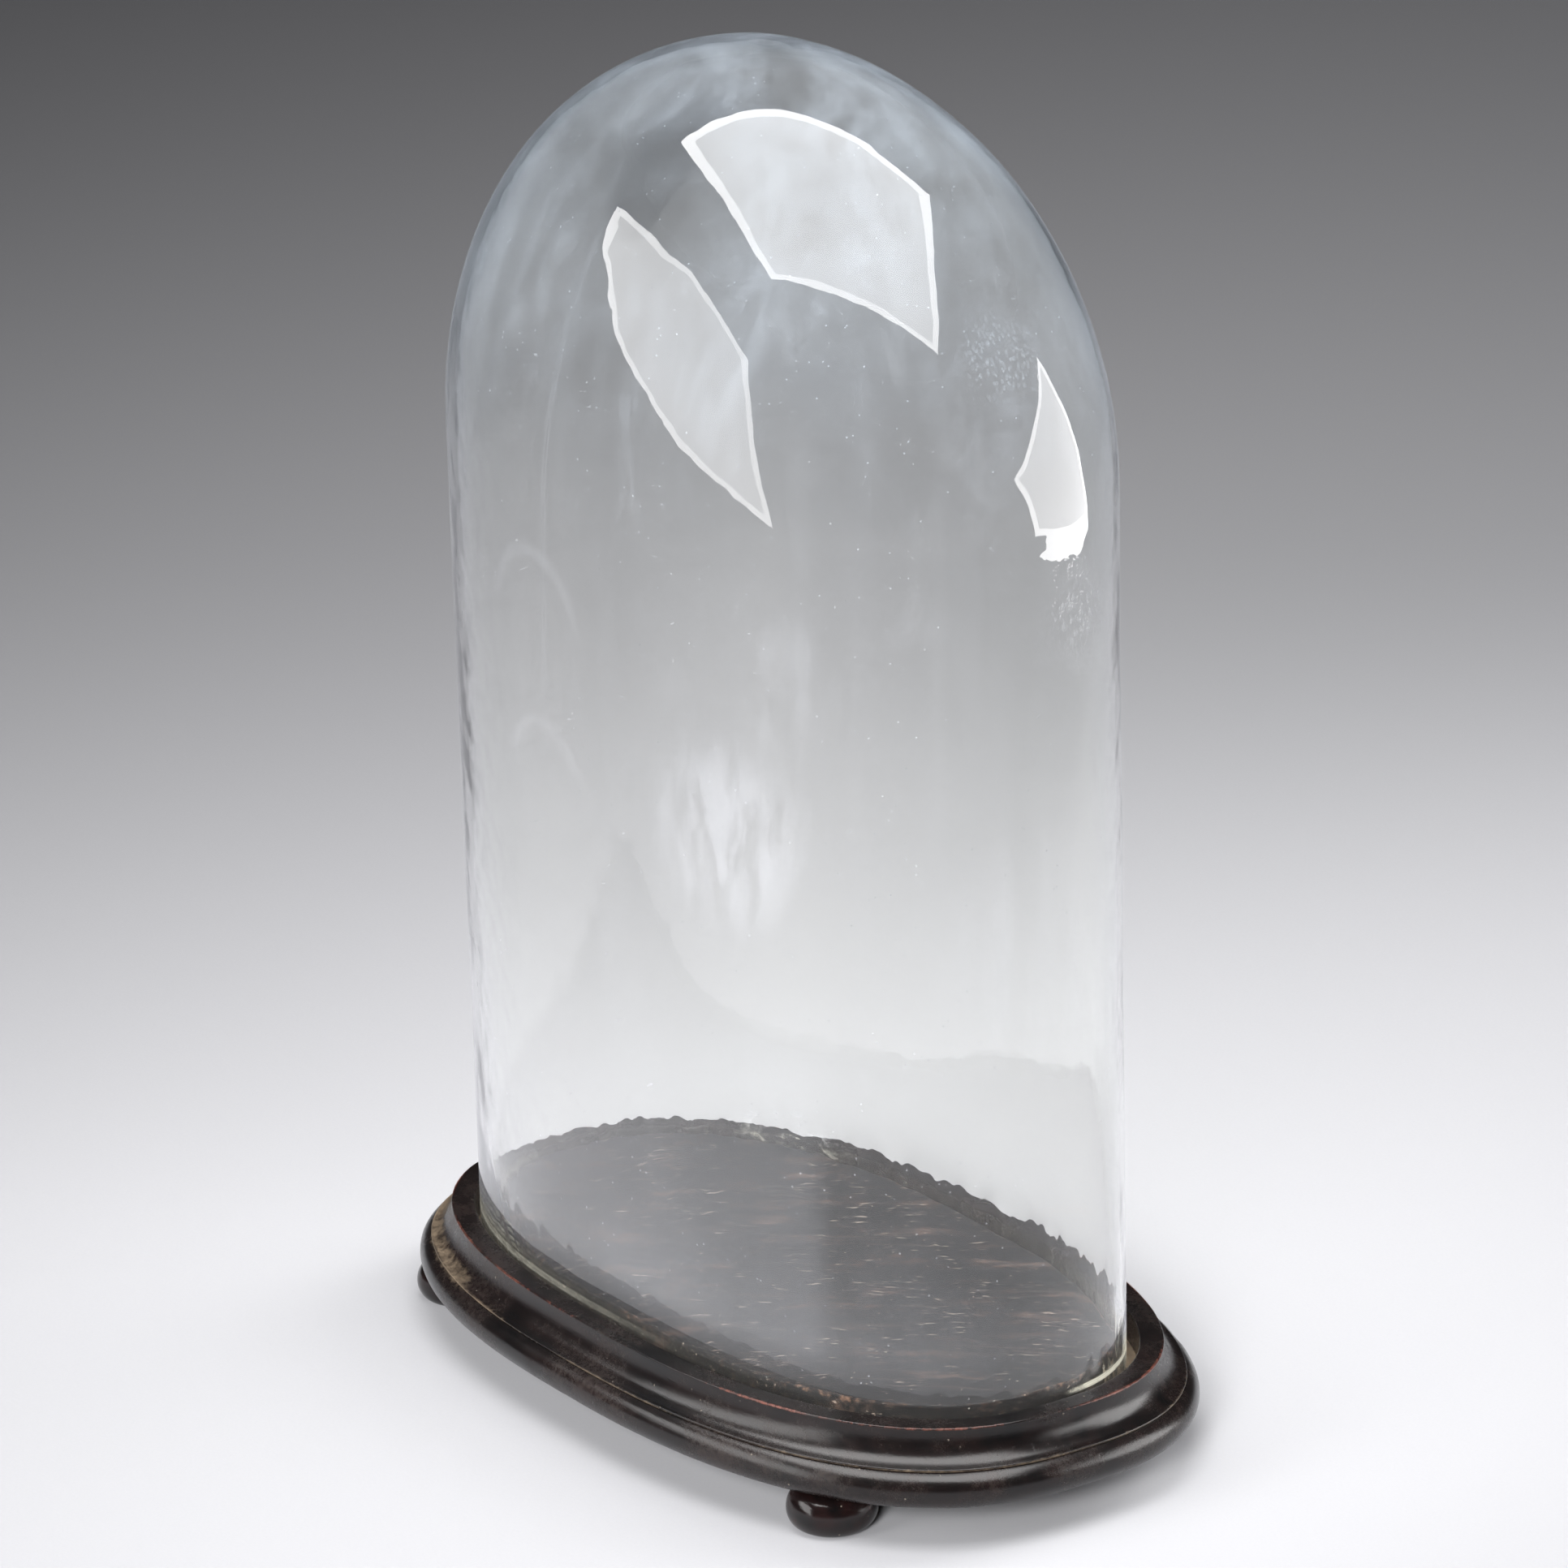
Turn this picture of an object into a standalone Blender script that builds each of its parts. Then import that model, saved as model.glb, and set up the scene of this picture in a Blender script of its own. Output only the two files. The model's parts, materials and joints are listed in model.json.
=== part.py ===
"""Oval glass dome on an ebonised wooden stand.

A blown glass dome, open at the bottom, stands in a groove between a moulded oval ring and an oval
display platform. Ring and platform are screwed to a bullnosed base board from below, and the board
stands on four bun feet.
Metres, +Z up. The origin is on the table under the middle of the board, with the oval's long axis along X.
"""

import math

import bmesh
import bpy

# The oval plan: a superellipse through the sharp top edge (the arris) of the moulding.
ARRIS_HALF_LENGTH = 0.150
ARRIS_HALF_WIDTH = 0.0836
PLAN_EXPONENT = 2.5
PLAN_POINTS = 64

# Pieces that touch keep this much air between their meshes.
FIT_GAP = 0.0003

# Heights, from the table up.
FOOT_HEIGHT = 0.0138
BOARD_THICKNESS = 0.0128
MOULDING_HEIGHT = 0.0111
PLATFORM_RISE = 0.0008
BOARD_BOTTOM = FOOT_HEIGHT + FIT_GAP
BOARD_TOP = BOARD_BOTTOM + BOARD_THICKNESS
MOULDING_BOTTOM = BOARD_TOP + FIT_GAP
RIM_TOP = MOULDING_BOTTOM + MOULDING_HEIGHT

# Offsets in plan, outwards from the arris.
BOARD_OVERHANG = 0.0109
LIP_OVERHANG = 0.0070
RIM_WIDTH = 0.0077
GROOVE_WIDTH = 0.0087

# The moulding's section.
ARRIS_FLAT = 0.0010
LIP_HEIGHT = 0.0008
BULLNOSE_RADIUS = 0.0063
PLATFORM_EDGE_RADIUS = 0.0008
COVE_STEPS = 8
BULLNOSE_RESOLUTION = 4
PLATFORM_EDGE_RESOLUTION = 1

# The glass dome.
GLASS_HALF_LENGTH = 0.1410
GLASS_HALF_WIDTH = 0.0720
GLASS_THICKNESS = 0.0028
GLASS_SHIFT_Y = -0.0015
SHOULDER_HALF_LENGTH = 0.1343
SHOULDER_HALF_WIDTH = 0.0853
SHOULDER_EXPONENT = 2.2
SHOULDER_HEIGHT = RIM_TOP + 0.2804
GLASS_TOP = RIM_TOP + 0.4112
WALL_EASE = 0.3
WALL_SECTIONS = 5
CROWN_SECTIONS = 8

# The bun feet stand a little unevenly, as they do on a stand marked out by eye.
FOOT_PLACES = {
    "front_right": (0.1070, -0.0620),
    "back_right": (0.1070, 0.0620),
    "front_left": (-0.1240, -0.0550),
    "back_left": (-0.1240, 0.0550),
}
FOOT_BASE_RADIUS = 0.0090
FOOT_BULGE_RADIUS = 0.0146
FOOT_BULGE_HEIGHT = 0.0066
FOOT_TOP_RADIUS = 0.0098
FOOT_COUNTERBORE_RADIUS = 0.0044
FOOT_COUNTERBORE_DEPTH = 0.0050
FOOT_ARC_STEPS = 5

# Countersunk, slotted wood screws.
SCREW_LENGTH = 0.0190
SCREW_HEAD_RADIUS = 0.0034
SCREW_HEAD_HEIGHT = 0.0022
SCREW_HEAD_RIM = 0.0004
SCREW_SHANK_RADIUS = 0.0017
SCREW_CORE_RADIUS = 0.0012
SCREW_SHANK_LENGTH = 0.0070
SCREW_POINT_LENGTH = 0.0030
SCREW_SLOT_WIDTH = 0.0009
SCREW_SLOT_DEPTH = 0.0009
SCREW_RECESS = 0.0005
SCREW_TURN = math.radians(37)
RING_SCREW_ANGLES = (10, 75, 105, 170, 190, 255, 285, 350)
RING_SCREW_OFFSET = -0.0038
PLATFORM_SCREW_PLACES = ((0.085, -0.032), (0.085, 0.032), (-0.085, -0.032), (-0.085, 0.032))

TURNED_STEPS = 20
SCREW_STEPS = 12
AUTO_SMOOTH_ANGLE = math.radians(40)
MOULDING_SMOOTH_ANGLE = math.radians(30)
WELD_DISTANCE = 1e-6
AXIS_MERGE_DISTANCE = 1e-5


def clear_scene():
    for obj in list(bpy.data.objects):
        bpy.data.objects.remove(obj)


def make_collection(name, hidden=False):
    collection = bpy.data.collections.new(name)
    collection.hide_render = hidden
    bpy.context.scene.collection.children.link(collection)
    return collection


def make_material(name, colour, roughness, metallic=0.0, transmission=0.0):
    material = bpy.data.materials.new(name)
    material.use_nodes = True
    shader = material.node_tree.nodes["Principled BSDF"]
    shader.inputs["Base Color"].default_value = (*colour, 1.0)
    shader.inputs["Roughness"].default_value = roughness
    shader.inputs["Metallic"].default_value = metallic
    shader.inputs["Transmission Weight"].default_value = transmission
    return material


def oval_point(half_length, half_width, angle, exponent=PLAN_EXPONENT):
    """The point of a superellipse at this parameter angle."""
    cosine, sine = math.cos(angle), math.sin(angle)
    x = half_length * math.copysign(abs(cosine) ** (2 / exponent), cosine)
    y = half_width * math.copysign(abs(sine) ** (2 / exponent), sine)
    return x, y


def plan_point(offset, angle):
    """A point on the stand's oval, this far outside the arris."""
    return oval_point(ARRIS_HALF_LENGTH + offset, ARRIS_HALF_WIDTH + offset, angle)


def plan_angles():
    return [2 * math.pi * step / PLAN_POINTS for step in range(PLAN_POINTS)]


def arc(centre, radii, start, end, steps):
    """Points on an elliptical arc, from start to end in degrees, both ends included."""
    points = []
    for step in range(steps + 1):
        angle = math.radians(start + (end - start) * step / steps)
        points.append((centre[0] + radii[0] * math.cos(angle), centre[1] + radii[1] * math.sin(angle)))
    return points


def smooth(mesh, angle=AUTO_SMOOTH_ANGLE):
    mesh.shade_smooth()
    mesh.set_sharp_from_angle(angle=angle)


def link_mesh(name, mesh, material, collection):
    mesh.materials.clear()
    mesh.materials.append(material)
    obj = bpy.data.objects.new(name, mesh)
    collection.objects.link(obj)
    return obj


def evaluated_mesh(obj, name):
    """The object's mesh with its modifiers or curve settings applied and its loose caps welded."""
    bpy.context.view_layer.update()
    graph = bpy.context.evaluated_depsgraph_get()
    mesh = bpy.data.meshes.new_from_object(obj.evaluated_get(graph))
    mesh.name = name
    edit = bmesh.new()
    edit.from_mesh(mesh)
    bmesh.ops.remove_doubles(edit, verts=edit.verts, dist=WELD_DISTANCE)
    bmesh.ops.recalc_face_normals(edit, faces=edit.faces)
    edit.to_mesh(mesh)
    edit.free()
    return mesh


def poly_curve(name, points, collection):
    """A closed 2D curve through the points."""
    curve = bpy.data.curves.new(name, "CURVE")
    curve.dimensions = "2D"
    curve.fill_mode = "BOTH"
    spline = curve.splines.new("POLY")
    spline.points.add(len(points) - 1)
    for target, (x, y) in zip(spline.points, points):
        target.co = (x, y, 0.0, 1.0)
    spline.use_cyclic_u = True
    obj = bpy.data.objects.new(name, curve)
    collection.objects.link(obj)
    return obj


def oval_board(name, offset, bottom, thickness, edge_radius, edge_resolution, material, collection):
    """A flat oval board whose top and bottom edges are rounded over."""
    outline = [plan_point(offset - edge_radius, angle) for angle in plan_angles()]
    curve = poly_curve(name, outline, collection)
    curve.data.extrude = thickness / 2 - edge_radius
    curve.data.bevel_depth = edge_radius
    curve.data.bevel_resolution = edge_resolution
    mesh = evaluated_mesh(curve, name)
    bpy.data.objects.remove(curve)
    smooth(mesh)
    board = link_mesh(name, mesh, material, collection)
    board.location.z = bottom + thickness / 2
    return board


def turned_mesh(name, profile, steps, collection):
    """A solid turned about Z from a profile that runs from the top of the axis down to its bottom."""
    mesh = bpy.data.meshes.new(name)
    mesh.from_pydata([(r, 0.0, z) for r, z in profile], [(i, i + 1) for i in range(len(profile) - 1)], [])
    obj = bpy.data.objects.new(name, mesh)
    collection.objects.link(obj)
    screw = obj.modifiers.new("turn", "SCREW")
    screw.steps = steps
    screw.render_steps = steps
    screw.use_merge_vertices = True
    screw.merge_threshold = AXIS_MERGE_DISTANCE
    turned = evaluated_mesh(obj, name)
    bpy.data.objects.remove(obj)
    return turned


def cut(obj, cutter, name):
    difference = obj.modifiers.new(name, "BOOLEAN")
    difference.operation = "DIFFERENCE"
    difference.object = cutter


def make_cutter(name, mesh, location, collection):
    cutter = bpy.data.objects.new(name, mesh)
    cutter.location = location
    cutter.display_type = "WIRE"
    cutter.hide_render = True
    collection.objects.link(cutter)
    return cutter


# Glass dome


def wall_section(fraction):
    """Half-length, half-width and exponent of the wall, from the groove (0) to the shoulder (1)."""
    eased = fraction * (1 + WALL_EASE - WALL_EASE * fraction)
    return tuple(
        low + (high - low) * eased
        for low, high in (
            (GLASS_HALF_LENGTH, SHOULDER_HALF_LENGTH),
            (GLASS_HALF_WIDTH, SHOULDER_HALF_WIDTH),
            (PLAN_EXPONENT, SHOULDER_EXPONENT),
        )
    )


def glass_sections():
    """(half-length, half-width, exponent, height) of each section of the glass, below the crown's top."""
    sections = []
    for step in range(WALL_SECTIONS):
        fraction = step / WALL_SECTIONS
        height = MOULDING_BOTTOM + (SHOULDER_HEIGHT - MOULDING_BOTTOM) * fraction
        sections.append((*wall_section(fraction), height))
    for step in range(CROWN_SECTIONS):
        rise = math.radians(90 * step / CROWN_SECTIONS)
        height = SHOULDER_HEIGHT + (GLASS_TOP - SHOULDER_HEIGHT) * math.sin(rise)
        shrink = math.cos(rise)
        half_length, half_width = SHOULDER_HALF_LENGTH * shrink, SHOULDER_HALF_WIDTH * shrink
        sections.append((half_length, half_width, SHOULDER_EXPONENT, height))
    return sections


def make_glass_dome(material, collection):
    """The outer surface is a loft from a squarish oval to a rounder one, thickened inwards."""
    edit = bmesh.new()
    rings = []
    for half_length, half_width, exponent, height in glass_sections():
        ring = []
        for angle in plan_angles():
            x, y = oval_point(half_length, half_width, angle, exponent)
            ring.append(edit.verts.new((x, y, height)))
        rings.append(ring)
    for lower, upper in zip(rings, rings[1:]):
        for i in range(PLAN_POINTS):
            j = (i + 1) % PLAN_POINTS
            edit.faces.new((lower[i], lower[j], upper[j], upper[i]))
    top = edit.verts.new((0.0, 0.0, GLASS_TOP))
    for i in range(PLAN_POINTS):
        edit.faces.new((rings[-1][i], rings[-1][(i + 1) % PLAN_POINTS], top))
    mesh = bpy.data.meshes.new("glass_dome")
    edit.to_mesh(mesh)
    edit.free()
    smooth(mesh)
    dome = link_mesh("glass_dome", mesh, material, collection)
    dome.location.y = GLASS_SHIFT_Y
    shell = dome.modifiers.new("wall", "SOLIDIFY")
    shell.thickness = GLASS_THICKNESS
    shell.offset = -1
    shell.use_even_offset = True
    return dome


# Screws


def screw_profile(clearance=0.0):
    """Head down, point up, with the head's face at z = 0. Clearance makes the hole for the screw."""
    top = SCREW_LENGTH + clearance
    return [
        (0.0, top),
        (SCREW_CORE_RADIUS + clearance, SCREW_LENGTH - SCREW_POINT_LENGTH + clearance),
        (SCREW_CORE_RADIUS + clearance, SCREW_SHANK_LENGTH + clearance),
        (SCREW_SHANK_RADIUS + clearance, SCREW_SHANK_LENGTH + clearance),
        (SCREW_SHANK_RADIUS + clearance, SCREW_HEAD_HEIGHT),
        (SCREW_HEAD_RADIUS + clearance, SCREW_HEAD_RIM),
    ]


def make_screw_mesh(collection):
    profile = screw_profile() + [(SCREW_HEAD_RADIUS, 0.0), (0.0, 0.0)]
    blank = bpy.data.objects.new("screw", turned_mesh("screw_blank", profile, SCREW_STEPS, collection))
    collection.objects.link(blank)
    edit = bmesh.new()
    bmesh.ops.create_cube(edit, size=1.0)
    size = (4 * SCREW_HEAD_RADIUS, SCREW_SLOT_WIDTH, 2 * SCREW_SLOT_DEPTH)
    bmesh.ops.scale(edit, vec=size, verts=edit.verts)
    slot_mesh = bpy.data.meshes.new("screw_slot")
    edit.to_mesh(slot_mesh)
    edit.free()
    slot = bpy.data.objects.new("screw_slot", slot_mesh)
    collection.objects.link(slot)
    cut(blank, slot, "slot")
    mesh = evaluated_mesh(blank, "wood_screw")
    bpy.data.objects.remove(blank)
    bpy.data.objects.remove(slot)
    smooth(mesh)
    return mesh


def make_hole_mesh(collection):
    """The hole around a screw, with a countersink that opens past the face it is driven into."""
    mouth = -2 * SCREW_RECESS
    radius = SCREW_HEAD_RADIUS + FIT_GAP
    profile = screw_profile(FIT_GAP) + [(radius, mouth), (0.0, mouth)]
    return turned_mesh("screw_hole", profile, SCREW_STEPS, collection)


def ring_screw_places():
    return [plan_point(RING_SCREW_OFFSET, math.radians(angle)) for angle in RING_SCREW_ANGLES]


def place_screws(name, places, height, mesh, hole_mesh, material, parts, cutters):
    """Puts a screw, and a cutter for its hole, at each place. Returns the cutters."""
    holes = []
    for number, (x, y) in enumerate(places, start=1):
        screw = link_mesh(f"{name}_{number}", mesh, material, parts)
        screw.location = (x, y, height)
        screw.rotation_euler.z = SCREW_TURN * number
        holes.append(make_cutter(f"{name}_hole_{number}", hole_mesh, (x, y, height), cutters))
    return holes


# Wooden pieces


def moulding_profile():
    """The ring's section: x outwards from the arris, y up from the ring's bottom."""
    cove_top = MOULDING_HEIGHT - ARRIS_FLAT
    cove_rise = cove_top - LIP_HEIGHT
    points = [(-RIM_WIDTH, MOULDING_HEIGHT), (-RIM_WIDTH, 0.0), (LIP_OVERHANG - LIP_HEIGHT / 2, 0.0)]
    points += [(LIP_OVERHANG, LIP_HEIGHT / 2), (LIP_OVERHANG - LIP_HEIGHT / 4, LIP_HEIGHT)]
    cove_width = LIP_OVERHANG - LIP_HEIGHT / 2
    points += arc((cove_width, cove_top), (cove_width, cove_rise), 270, 180, COVE_STEPS)
    points.append((0.0, MOULDING_HEIGHT))
    return points


def make_moulding(material, parts, collection):
    """The section swept along the oval of the arris."""
    section = poly_curve("moulding_section", moulding_profile(), collection)
    path = poly_curve("rim_moulding", [plan_point(0.0, angle) for angle in plan_angles()], collection)
    path.data.dimensions = "3D"
    path.data.twist_mode = "Z_UP"
    path.data.bevel_mode = "OBJECT"
    path.data.bevel_object = section
    mesh = evaluated_mesh(path, "rim_moulding")
    bpy.data.objects.remove(path)
    bpy.data.objects.remove(section)
    smooth(mesh, MOULDING_SMOOTH_ANGLE)
    ring = link_mesh("rim_moulding", mesh, material, parts)
    ring.location.z = MOULDING_BOTTOM
    return ring


def foot_profile():
    """From the middle of the foot's top, out over the bulge, and up into the counterbore."""
    bulge_top = arc(
        (FOOT_TOP_RADIUS, FOOT_BULGE_HEIGHT),
        (FOOT_BULGE_RADIUS - FOOT_TOP_RADIUS, FOOT_HEIGHT - FOOT_BULGE_HEIGHT),
        90,
        0,
        FOOT_ARC_STEPS,
    )
    bulge_bottom = arc(
        (FOOT_BASE_RADIUS, FOOT_BULGE_HEIGHT),
        (FOOT_BULGE_RADIUS - FOOT_BASE_RADIUS, FOOT_BULGE_HEIGHT),
        0,
        -90,
        FOOT_ARC_STEPS,
    )
    counterbore = [
        (FOOT_COUNTERBORE_RADIUS, 0.0),
        (FOOT_COUNTERBORE_RADIUS, FOOT_COUNTERBORE_DEPTH),
        (0.0, FOOT_COUNTERBORE_DEPTH),
    ]
    return [(0.0, FOOT_HEIGHT)] + bulge_top + bulge_bottom[1:] + counterbore


def make_feet(material, screw_material, screw_mesh, hole_mesh, board, parts, cutters):
    """Each foot is held by one screw, driven up through it from its counterbore into the board."""
    foot_mesh = turned_mesh("bun_foot", foot_profile(), TURNED_STEPS, parts)
    smooth(foot_mesh)
    for name, (x, y) in FOOT_PLACES.items():
        foot = link_mesh(f"bun_foot_{name}", foot_mesh, material, parts)
        foot.location = (x, y, 0.0)
        height = FOOT_COUNTERBORE_DEPTH + SCREW_RECESS
        screw = link_mesh(f"foot_screw_{name}", screw_mesh, screw_material, parts)
        screw.location = (x, y, height)
        hole = make_cutter(f"foot_screw_hole_{name}", hole_mesh, (x, y, height), cutters)
        cut(foot, hole, "screw_hole")
        cut(board, hole, f"hole_{name}")


def main():
    clear_scene()
    parts = make_collection("oval_glass_dome")
    cutters = make_collection("cutters", hidden=True)

    glass = make_material("glass", (0.93, 0.96, 0.94), 0.03, transmission=1.0)
    ebonised = make_material("ebonised_wood", (0.018, 0.015, 0.014), 0.32)
    platform_wood = make_material("platform_wood", (0.035, 0.028, 0.026), 0.42)
    foot_wood = make_material("foot_wood", (0.024, 0.013, 0.011), 0.25)
    screw_steel = make_material("screw_steel", (0.21, 0.19, 0.17), 0.45, metallic=1.0)

    make_glass_dome(glass, parts)
    moulding = make_moulding(ebonised, parts, cutters)
    board = oval_board(
        "base_board",
        BOARD_OVERHANG,
        BOARD_BOTTOM,
        BOARD_THICKNESS,
        BULLNOSE_RADIUS,
        BULLNOSE_RESOLUTION,
        ebonised,
        parts,
    )
    platform_height = MOULDING_HEIGHT + PLATFORM_RISE
    platform = oval_board(
        "display_platform",
        -RIM_WIDTH - GROOVE_WIDTH,
        MOULDING_BOTTOM,
        platform_height,
        PLATFORM_EDGE_RADIUS,
        PLATFORM_EDGE_RESOLUTION,
        platform_wood,
        parts,
    )

    screw_mesh = make_screw_mesh(parts)
    hole_mesh = make_hole_mesh(cutters)
    head_height = BOARD_BOTTOM + SCREW_RECESS
    common = (head_height, screw_mesh, hole_mesh, screw_steel, parts, cutters)
    for number, hole in enumerate(place_screws("moulding_screw", ring_screw_places(), *common)):
        cut(board, hole, f"ring_{number}")
        cut(moulding, hole, f"ring_{number}")
    for number, hole in enumerate(place_screws("platform_screw", PLATFORM_SCREW_PLACES, *common)):
        cut(board, hole, f"platform_{number}")
        cut(platform, hole, f"platform_{number}")
    make_feet(foot_wood, screw_steel, screw_mesh, hole_mesh, board, parts, cutters)


main()
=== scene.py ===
import json
import math

import bmesh
import bpy
from mathutils import Matrix, Vector, noise

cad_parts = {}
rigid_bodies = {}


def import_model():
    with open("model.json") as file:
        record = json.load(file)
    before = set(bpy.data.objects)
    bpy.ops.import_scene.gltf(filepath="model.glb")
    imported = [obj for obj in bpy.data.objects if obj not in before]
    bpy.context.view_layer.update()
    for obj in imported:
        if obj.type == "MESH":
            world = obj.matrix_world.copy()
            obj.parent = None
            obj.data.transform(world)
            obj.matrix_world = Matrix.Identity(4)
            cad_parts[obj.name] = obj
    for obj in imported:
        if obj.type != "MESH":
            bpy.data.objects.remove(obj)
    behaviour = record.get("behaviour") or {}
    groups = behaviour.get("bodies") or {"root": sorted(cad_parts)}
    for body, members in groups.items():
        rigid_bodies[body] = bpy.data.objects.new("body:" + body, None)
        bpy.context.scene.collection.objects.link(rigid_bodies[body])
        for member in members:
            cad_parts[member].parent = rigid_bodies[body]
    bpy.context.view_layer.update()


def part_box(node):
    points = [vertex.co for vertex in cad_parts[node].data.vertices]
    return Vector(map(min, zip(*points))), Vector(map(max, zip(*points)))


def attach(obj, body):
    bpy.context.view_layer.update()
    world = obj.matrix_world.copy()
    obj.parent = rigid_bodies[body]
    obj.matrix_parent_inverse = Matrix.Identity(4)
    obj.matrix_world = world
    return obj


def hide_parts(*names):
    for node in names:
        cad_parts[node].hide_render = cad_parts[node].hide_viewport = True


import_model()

# Heights come from the CAD's boxes.
BOARD_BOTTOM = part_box("base_board")[0][2]
BOARD_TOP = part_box("base_board")[1][2]
RING_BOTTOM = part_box("rim_moulding")[0][2]
RIM_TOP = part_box("rim_moulding")[1][2]
PLATFORM_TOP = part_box("display_platform")[1][2]
GLASS_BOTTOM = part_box("glass_dome")[0][2]
GLASS_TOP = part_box("glass_dome")[1][2]
SHOULDER = RIM_TOP + 0.2804

# In plan, the stand follows a superellipse through the arris, the sharp top edge of the moulding.
# Offsets are measured outwards from it.
HALF_LENGTH, HALF_WIDTH, EXPONENT = 0.150, 0.0836, 2.5
RIM_WIDTH, GROOVE_WIDTH = 0.0077, 0.0087
LIP, OVERHANG = 0.0070, 0.0109
COVE_TOP = RIM_TOP - RING_BOTTOM - 0.0010
BOARD_INNER = -0.024
RING_SCREWS = -0.0038
SCREW_RADIUS, HEAD_RADIUS, HEAD_DEPTH = 0.0020, 0.0037, 0.0022
FEET = ("front_right", "back_right", "front_left", "back_left")

# The dome's ovals, as half-length, half-width and exponent. It stands a little towards -Y in its groove.
GLASS_FOOT_OVAL = (0.1410, 0.0720, 2.5)
GLASS_SHOULDER_OVAL = (0.1343, 0.0853, 2.2)
GLASS_SHIFT = -0.0015
LEAST_WALL = 0.0012

CAMERA_AIM = Vector((-0.0049, 0.0020, 0.2033))
CAMERA_AZIMUTH = math.radians(55.87)
CAMERA_ELEVATION = math.radians(18.55)
CAMERA_ROLL = math.radians(-1.34)
CAMERA_DISTANCE = 2.3806
CAMERA_LENS, CAMERA_SENSOR = 169.24, 36.0

SOFTBOX_AIM = Vector((0.0, 0.0, 0.3))
FILL_AIM = Vector((0.0, 0.0, 0.02))
PANEL_SHARE, PANEL_LEVEL, BORDER_LEVEL = 0.9, 0.95, 1.6


def clamp(value):
    return max(0.0, min(1.0, value))


def arc(centre, radii, start, end, steps):
    """Points on an ellipse from one angle to another, in degrees."""
    angles = [math.radians(start + (end - start) * step / steps) for step in range(steps + 1)]
    return [(centre[0] + radii[0] * math.cos(a), centre[1] + radii[1] * math.sin(a)) for a in angles]


def strip_faces(count, size, closed=False):
    """The faces between count neighbouring sections of size points, which go once round an axis."""
    faces = []
    for i in range(count):
        here, after = i * size, (i + 1) % count * size
        for j in range(size if closed else size - 1):
            k = (j + 1) % size
            faces.append((here + j, here + k, after + k, after + j))
    return faces


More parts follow.
